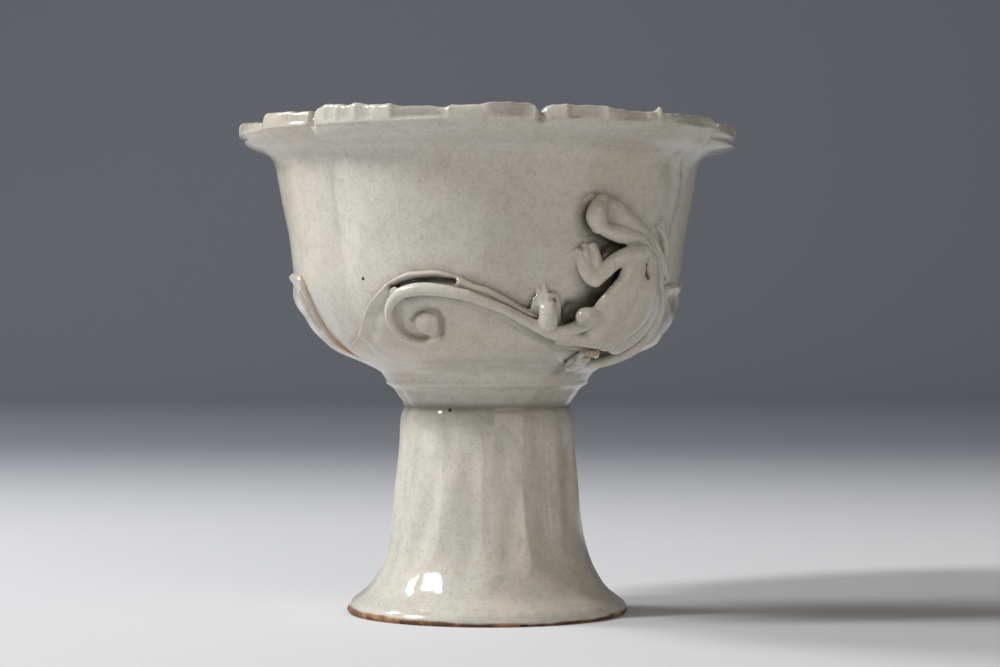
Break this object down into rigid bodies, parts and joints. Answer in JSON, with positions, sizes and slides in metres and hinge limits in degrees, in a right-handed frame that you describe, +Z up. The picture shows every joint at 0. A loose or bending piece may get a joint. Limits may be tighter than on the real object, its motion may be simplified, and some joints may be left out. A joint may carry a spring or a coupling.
{
  "type": "libation cup",
  "caption": "Glazed porcelain stem cup: a lobed flower bowl with a scalloped lip on a hollow flared foot, a dragon in relief on its side.",
  "frame": {"origin": "middle of the foot on the surface it stands on", "axes": "+Z up along the cup's axis, -Y towards the front that shows the dragon's tail, the dragon on the +X side of it"},
  "size_m": [0.099, 0.0988, 0.0981],
  "materials": {
    "porcelain_glaze": "glossy pale grey-green glaze with fine dark specks",
    "relief_glaze": "the same glaze, pooled in the hollows of the modelling and thin on its ridges",
    "petal_glaze": "the same glaze, thin and iron brown along the petal edges",
    "foot_glaze": "the same glaze down to an unglazed orange-brown foot ring"
  },
  "bodies": {
    "root": {"foot": "foot_glaze", "collar": "porcelain_glaze", "bowl": "porcelain_glaze", "calyx_front": "petal_glaze", "calyx_right": "petal_glaze", "calyx_left": "petal_glaze", "dragon_torso": "relief_glaze", "dragon_neck": "relief_glaze", "dragon_head": "relief_glaze", "dragon_jaw": "relief_glaze", "dragon_eye_right": "relief_glaze", "dragon_eye_left": "relief_glaze", "mane_lock_inner": "relief_glaze", "mane_lock_outer": "relief_glaze", "near_upper_foreleg": "relief_glaze", "near_forearm": "relief_glaze", "near_fore_paw": "relief_glaze", "far_foreleg": "relief_glaze", "far_fore_paw": "relief_glaze", "near_haunch": "relief_glaze", "near_shin": "relief_glaze", "near_hind_paw": "relief_glaze", "far_hind_leg": "relief_glaze", "far_hind_paw": "relief_glaze", "tail_root": "relief_glaze", "tail_scroll": "relief_glaze"}
  },
  "joints": []
}
